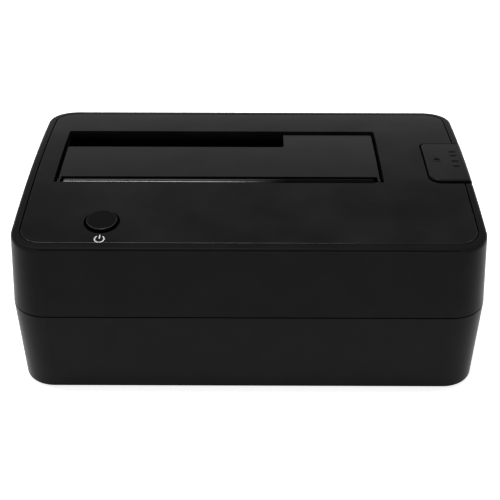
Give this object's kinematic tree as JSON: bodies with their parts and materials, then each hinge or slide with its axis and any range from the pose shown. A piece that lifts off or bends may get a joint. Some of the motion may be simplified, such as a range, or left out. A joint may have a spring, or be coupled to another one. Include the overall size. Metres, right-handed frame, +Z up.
{
  "type": "hard drive docking station",
  "caption": "Desktop dock that holds one bare 3.5 inch or 2.5 inch drive upright in a top slot, with dust flap, power button and eject tab.",
  "frame": {"origin": "middle of the plan, on the surface that the feet stand on", "axes": "+X to the right seen from the front, +Y to the rear with the sockets, +Z up"},
  "size_m": [0.1434, 0.0914, 0.055],
  "materials": {
    "shell_plastic": "fine satin moulding texture",
    "well_plastic": "matte",
    "panel_gloss": "polished",
    "flap_gloss": "polished",
    "button_gloss": "polished",
    "tab_gloss": "satin gloss",
    "steel": "ground",
    "spring_steel": "drawn wire",
    "switch_body": "matte",
    "switch_plunger": "natural",
    "lever_plastic": "glass-filled, matte",
    "board": "solder mask",
    "connector_plastic": "matte",
    "contact_gold": "gold plated",
    "socket_steel": "nickel plated",
    "socket_tongue": "moulded",
    "chip_plastic": "moulded epoxy",
    "can_steel": "plated",
    "can_aluminium": "drawn can",
    "screw_steel": "zinc plated",
    "black_steel": "black oxide",
    "foot_rubber": "matte"
  },
  "bodies": {
    "base": {"lower_shell": "shell_plastic", "upper_shell": "shell_plastic", "drive_well": "well_plastic", "top_panel": "panel_gloss", "flap_pin": "black_steel", "flap_spring": "spring_steel", "eject_spring": "spring_steel", "ejector_pin": "steel", "power_switch": "switch_body", "main_board": "board", "drive_connector": "connector_plastic", "connector_contacts": "contact_gold", "data_socket": "socket_steel", "data_socket_tongue": "socket_tongue", "power_inlet": "connector_plastic", "inlet_pin": "steel", "bridge_chip": "chip_plastic", "memory_chip": "chip_plastic", "crystal": "can_steel", "inductor": "chip_plastic", "capacitors": "can_aluminium", "board_screws": "screw_steel", "well_screws": "screw_steel", "case_screws": "black_steel", "rubber_feet": "foot_rubber"},
    "dust_flap": {"dust_flap": "flap_gloss"},
    "power_button": {"power_button": "button_gloss", "switch_plunger": "switch_plunger"},
    "eject_tab": {"eject_tab": "tab_gloss"},
    "ejector_lever": {"ejector_lever": "lever_plastic"}
  },
  "joints": [
    {"name": "flap_hinge", "type": "hinge", "parent": "base", "child": "dust_flap", "pos_m": [-0.00967, -0.00923, 0.05311], "axis": [-1, 0, 0], "range_deg": [0, 84], "stiffness_Nm_per_rad": 0.002, "springref_deg": -57.3},
    {"name": "power_button_press", "type": "slide", "parent": "base", "child": "power_button", "axis": [0, 0, -1], "range_m": [0, 0.0012], "stiffness_N_per_m": 150, "springref_m": -0.002},
    {"name": "eject_press", "type": "slide", "parent": "base", "child": "eject_tab", "axis": [0, 0, -1], "range_m": [0, 0.0035], "stiffness_N_per_m": 200, "springref_m": -0.003, "deforming": ["eject_spring"]},
    {"name": "ejector_pivot", "type": "hinge", "parent": "base", "child": "ejector_lever", "pos_m": [0.0382, 0.012, 0.0092], "axis": [0, 1, 0], "range_deg": [0, 8.53]}
  ],
  "couplings": [
    {"joint": "ejector_pivot", "follows": "eject_press", "rad_per_m": 42.508}
  ]
}
